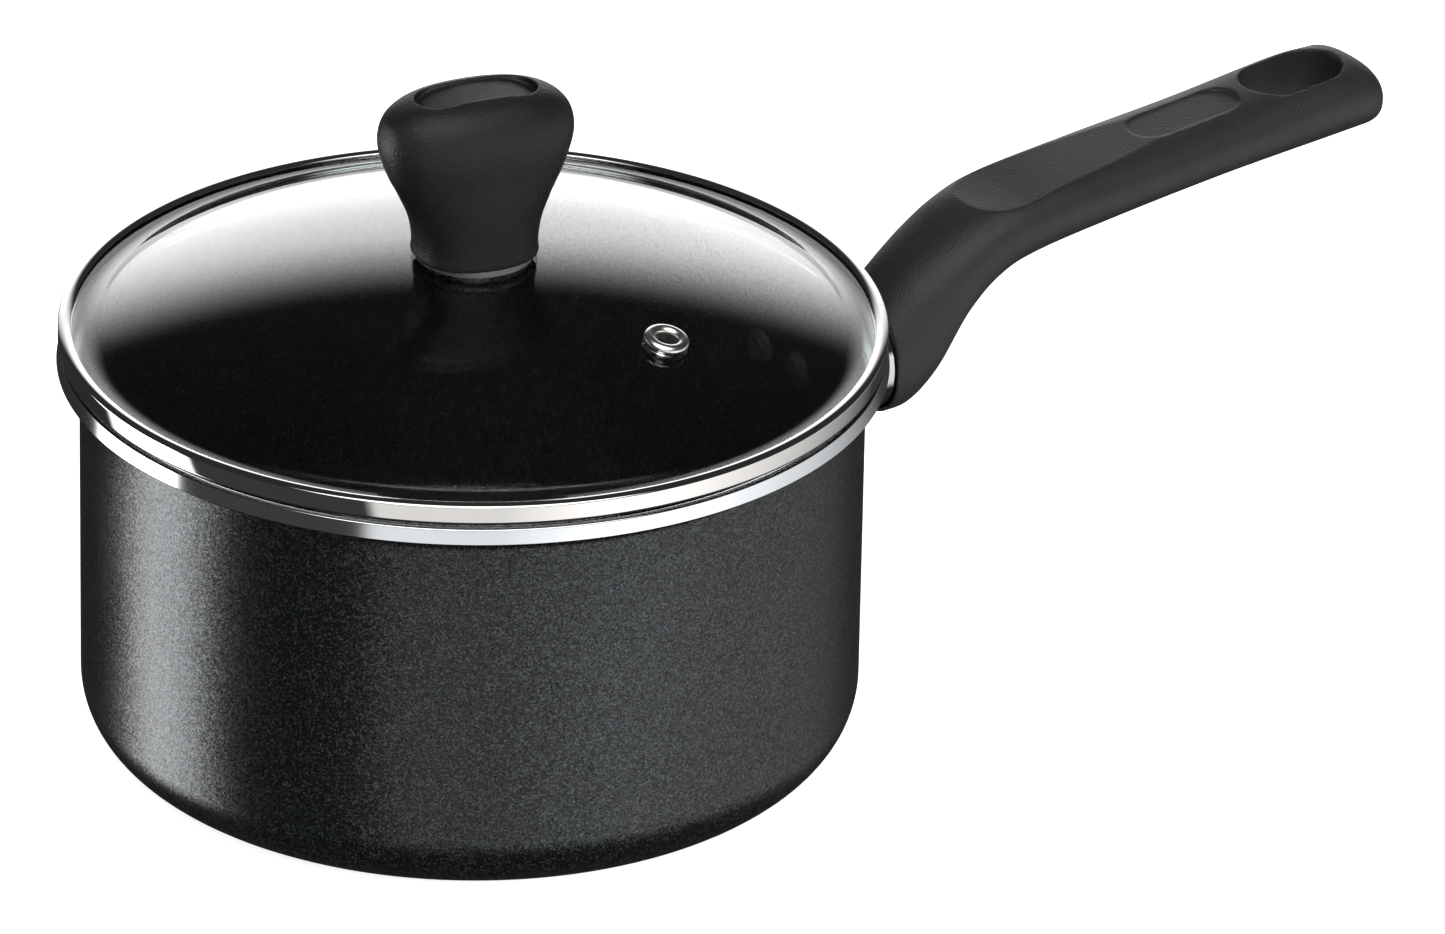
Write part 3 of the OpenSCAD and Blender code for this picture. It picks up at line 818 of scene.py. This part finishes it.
KNOB = [  # share of the height, half length, half width
    (0, 14.4, 13.1),
    (0.09, 14.2, 12.9),
    (0.22, 15.2, 12.9),
    (0.36, 17.6, 13.1),
    (0.51, 20.6, 13.4),
    (0.66, 22.6, 13.9),
    (0.77, 22.8, 13.7),
    (0.87, 21.2, 12.4),
    (0.945, 17, 9.8),
    (0.985, 10.4, 6),
    (1, 2.4, 1.4),
]


def recess_tool():
    """What the shallow oval recess takes from the knob. Its floor follows the knob's crown."""
    low = KNOB_H - RECESS_DEPTH
    half = RECESS_L / 2 + 1
    xs = [-half + 2 * half * i / 24 for i in range(25)]
    floor_line = [(x, low - RECESS_CROWN_R + math.sqrt(RECESS_CROWN_R ** 2 - x * x)) for x in xs]
    outline = floor_line + [(half, 50), (-half, 50)]
    tool = loft("recess_tool", [[(x, y, z) for x, z in outline] for y in (-9, 9)])
    keep = prism("recess_keep", stadium(RECESS_L, RECESS_W), 20, 60)
    modifier = tool.modifiers.new("keep", "BOOLEAN")
    modifier.operation = "INTERSECT"
    modifier.solver = "EXACT"
    modifier.object = keep
    apply_modifiers(tool)
    bpy.data.objects.remove(keep)
    return tool


def make_knob():
    """The moulded knob, with its recess and the bore for its insert."""
    shape = section(96, KNOB_ROUND, KNOB_ROUND)
    rings = [[(s[1] * a, s[2] * b, KNOB_H * s[0]) for a, b in shape] for s in smooth(KNOB, 10)]
    knob = loft("knob_grip", rings)
    recess = recess_tool()
    bore = prism("insert_tool", arc(0, 0, KNOB_BORE_R, 0, 354, 59), -2, KNOB_BORE_H)
    cut(knob, recess, bore)
    soften(knob, KNOB_VOXEL, 3)
    knob.data.transform(Matrix.Translation((0, 0, KNOB_Z * MM)) @ Matrix.Rotation(KNOB_TURN, 4, "Z"))
    paint(knob, KNOB_BLACK)
    place(knob, "lid", "knob_bakelite", "lid_knob")


# ---------------------------------------------------------------- CAD nodes that stay

def dress(material, *nodes):
    """Gives CAD nodes a better material and leaves their shape alone."""
    for name in nodes:
        paint(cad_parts[name], material)


# ---------------------------------------------------------------- stage, light and camera

CAMERA_AT = Vector((-1.4235, -2.0482, 1.3131))
CAMERA_AIM = Vector((0.0460, -0.0336, 0.0663))
CAMERA_ROLL = math.radians(1.2)
CAMERA_LENS = 305.3
CAMERA_TURN = math.radians(-34.8)    # the way that the studio's front faces


def make_camera():
    """A long lens, rolled a little."""
    ahead = (CAMERA_AIM - CAMERA_AT).normalized()
    right = ahead.cross(Vector((0, 0, 1))).normalized()
    up = right.cross(ahead)
    x = right * math.cos(CAMERA_ROLL) + up * math.sin(CAMERA_ROLL)
    y = up * math.cos(CAMERA_ROLL) - right * math.sin(CAMERA_ROLL)
    data = bpy.data.cameras.new("camera")
    data.lens = CAMERA_LENS
    data.sensor_width = 36
    data.clip_start = 0.05
    data.clip_end = 100
    camera = bpy.data.objects.new("camera", data)
    camera.matrix_world = Matrix.Translation(CAMERA_AT) @ Matrix((x, y, -ahead)).transposed().to_4x4()
    bpy.context.scene.collection.objects.link(camera)
    bpy.context.scene.camera = camera


FLOOR_GLOW = 0.85
FLOOR_HALF = 20          # in metres


def make_floor():
    """A plain white floor that lights the object from below a little."""
    size = FLOOR_HALF
    mesh = bpy.data.meshes.new("floor")
    corners = [(-size, -size, 0), (size, -size, 0), (size, size, 0), (-size, size, 0)]
    mesh.from_pydata(corners, [], [(0, 1, 2, 3)])
    floor = bpy.data.objects.new("floor", mesh)
    bpy.context.scene.collection.objects.link(floor)
    s = Shader("floor_paper", **{"Roughness": 0.9, "Specular IOR Level": 0.0})
    s.set(s.surface, {
        "Base Color": s.mix(s.noise(3, 2), grey(0.86), grey(0.88)),
        "Emission Color": (1, 1, 1, 1),
        "Emission Strength": FLOOR_GLOW,
    })
    paint(floor, s.material)
    floor.visible_glossy = False


def area_light(name, where, aim, size, power):
    """A light for the matt surfaces only: mirrors and glass see the world instead."""
    data = bpy.data.lights.new(name, "AREA")
    data.shape = "RECTANGLE"
    data.size, data.size_y = size
    data.energy = power
    light = bpy.data.objects.new(name, data)
    direction = Vector(aim) - Vector(where)
    light.matrix_world = Matrix.Translation(where) @ direction.to_track_quat("-Z", "Y").to_matrix().to_4x4()
    light.visible_glossy = False
    light.visible_transmission = False
    bpy.context.scene.collection.objects.link(light)


# Brightness of the studio round the object, as (turn, strength). A turn is in degrees from the
# camera's side of the pan, positive to the right.
ROUND = [
    (-180, 0), (-121, 0), (-112, 6), (-89, 6), (-83, 0.02), (-29, 0.02), (-26, 0.9), (8, 0.9),
    (26, 1.25), (42, 1.6), (58, 1.5), (74, 1.15), (98, 0.8), (115, 0.5), (133, 0.2), (146, 0.02), (180, 0),
]
BRIGHTEST = 6
SIDE_TOP = 5             # heights between which these lights stand, in degrees
SIDE_BASE = -38
SIDE_SOFT = 6            # width of their soft edges
BACK_STRENGTH = 2.15     # oval panel behind the object
BACK_LEFT = 1.5          # how far it stands left of straight behind, in degrees
BACK_HEIGHT = 9
BACK_HALF = (22, 18.5)   # half its width and half its height, in degrees
BACK_FADE = (1.45, 0.5)  # where its glow ends and where it is full, in shares of those halves
OVER_STRENGTH = 2.8      # soft box above the camera
OVER_HEIGHT = 58
OVER_HALF = 33
OVER_SOFT = 5
FILL = 0.03              # faint light from everywhere


def make_world():
    """The studio round the object. It lights everything, and it shows in the metal and the glass."""
    world = bpy.data.worlds.new("studio")
    world.use_nodes = True
    tree = world.node_tree
    bpy.context.scene.world = world

    def add(kind, inputs, **settings):
        node = tree.nodes.new(kind)
        for key, value in settings.items():
            setattr(node, key, value)
        for key, value in inputs.items():
            if isinstance(value, bpy.types.NodeSocket):
                tree.links.new(value, node.inputs[key])
            else:
                node.inputs[key].default_value = value
        return node

    def calc(operation, a, b=0.0):
        return add("ShaderNodeMath", {0: a, 1: b}, operation=operation).outputs[0]

    def dot(direction):
        facing = add("ShaderNodeVectorMath", {0: sky, 1: direction}, operation="DOT_PRODUCT")
        return facing.outputs["Value"]

    def step(value, low, high):
        """0 up to low and 1 from high on, or the other way round."""
        inputs = {"Value": value, "From Min": low, "From Max": high, "To Min": 0.0, "To Max": 1.0}
        return add("ShaderNodeMapRange", inputs, interpolation_type="SMOOTHSTEP").outputs["Result"]

    sky = add("ShaderNodeTexCoord", {}).outputs["Generated"]
    toward = (math.sin(CAMERA_TURN), -math.cos(CAMERA_TURN), 0)
    rightward = (math.cos(CAMERA_TURN), math.sin(CAMERA_TURN), 0)
    turn = calc("MULTIPLY", calc("ARCTAN2", dot(rightward), dot(toward)), 180 / math.pi)
    height = calc("MULTIPLY", calc("ARCSINE", dot((0, 0, 1))), 180 / math.pi)

    ramp = add("ShaderNodeValToRGB", {0: calc("DIVIDE", calc("ADD", turn, 180), 360)})
    stops = ramp.color_ramp.elements
    while len(stops) > 1:
        stops.remove(stops[-1])
    for k, (at, strength) in enumerate(ROUND):
        stop = stops[0] if k == 0 else stops.new((at + 180) / 360)
        stop.position = (at + 180) / 360
        stop.color = [strength / BRIGHTEST] * 3 + [1]
    round_value = calc("MULTIPLY", ramp.outputs[0], BRIGHTEST)
    standing = calc("MULTIPLY", step(height, SIDE_TOP + SIDE_SOFT, SIDE_TOP - SIDE_SOFT),
                    step(height, SIDE_BASE - SIDE_SOFT, SIDE_BASE + SIDE_SOFT))
    sides = calc("MULTIPLY", round_value, standing)

    beside = calc("SUBTRACT", 180, calc("ABSOLUTE", calc("SUBTRACT", turn, BACK_LEFT)))
    off_back = calc("DIVIDE", beside, BACK_HALF[0])
    off_level = calc("DIVIDE", calc("SUBTRACT", height, BACK_HEIGHT), BACK_HALF[1])
    oval = calc("SQRT", calc("ADD", calc("POWER", off_back, 2), calc("MULTIPLY", off_level, off_level)))
    back = calc("MULTIPLY", BACK_STRENGTH, step(oval, *BACK_FADE))

    lift = math.radians(OVER_HEIGHT)
    aim = (toward[0] * math.cos(lift), toward[1] * math.cos(lift), math.sin(lift))
    off_aim = calc("MULTIPLY", calc("ARCCOSINE", dot(aim)), 180 / math.pi)
    over = calc("MULTIPLY", OVER_STRENGTH, step(off_aim, OVER_HALF + OVER_SOFT, OVER_HALF - OVER_SOFT))

    total = calc("ADD", calc("ADD", sides, back), calc("ADD", over, FILL))
    background = tree.nodes["Background"]
    tree.links.new(total, background.inputs["Color"])
    background.inputs["Strength"].default_value = 1.0


def make_lights():
    area_light("ceiling", where=(0.2, -0.2, 2.2), aim=(0.1, 0, 0), size=(2.4, 2.4), power=5)
    area_light("front", where=(0.9, -2.2, 0.9), aim=(0.1, 0, 0.05), size=(1.6, 1.2), power=42)


make_pan()
make_guard()
make_handle()
make_band()
make_glass()
make_eyelet()
make_gasket()
make_knob()
dress(black_coat(), "bracket_rivets")
dress(bracket_steel(), "handle_bracket")
dress(ZINC, "handle_screw", "handle_lock_washer", "knob_washer", "knob_screw")
dress(STEEL, "vent_washer")
dress(brass(), "knob_insert")
dress(soft_grommet(), "glass_grommet")
make_camera()
make_floor()
make_world()
make_lights()
bpy.context.scene.view_settings.view_transform = "Standard"
